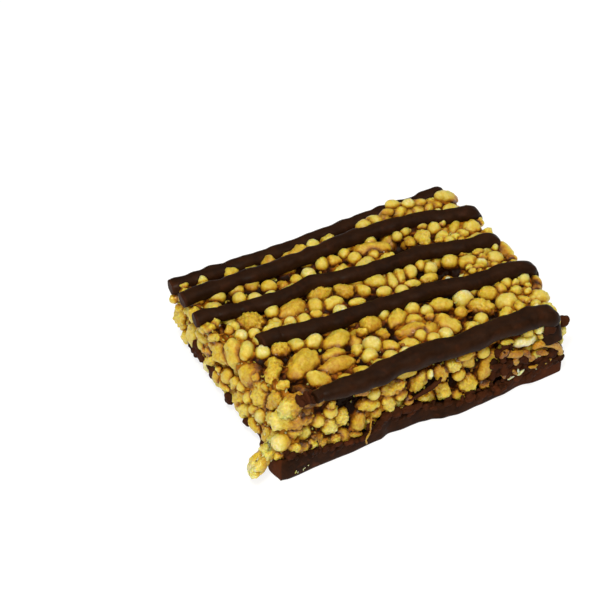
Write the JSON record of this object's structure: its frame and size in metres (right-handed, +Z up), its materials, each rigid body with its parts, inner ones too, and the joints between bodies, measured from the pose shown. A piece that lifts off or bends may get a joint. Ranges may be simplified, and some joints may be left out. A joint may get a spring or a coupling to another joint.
{
  "type": "protein bar half",
  "caption": "Half of a crisped-cereal protein bar, broken across its middle, on a dark chocolate base with chocolate stripes piped along its top.",
  "frame": {"origin": "centre of the part's box on the surface that the bar lies on", "axes": "+X along the bar, from its broken face to its moulded end; +Y across it, from the front side to the back; +Z up, through the chocolate base to the piped stripes"},
  "size_m": [0.0689, 0.0472, 0.0185],
  "materials": {
    "puffed_cereal": "toasted puffed grains under a thin sugar syrup, satin",
    "dark_chocolate": "set dark chocolate, soft sheen"
  },
  "bodies": {
    "root": {"cereal_slab": "puffed_cereal", "chocolate_base": "dark_chocolate"}
  },
  "joints": []
}
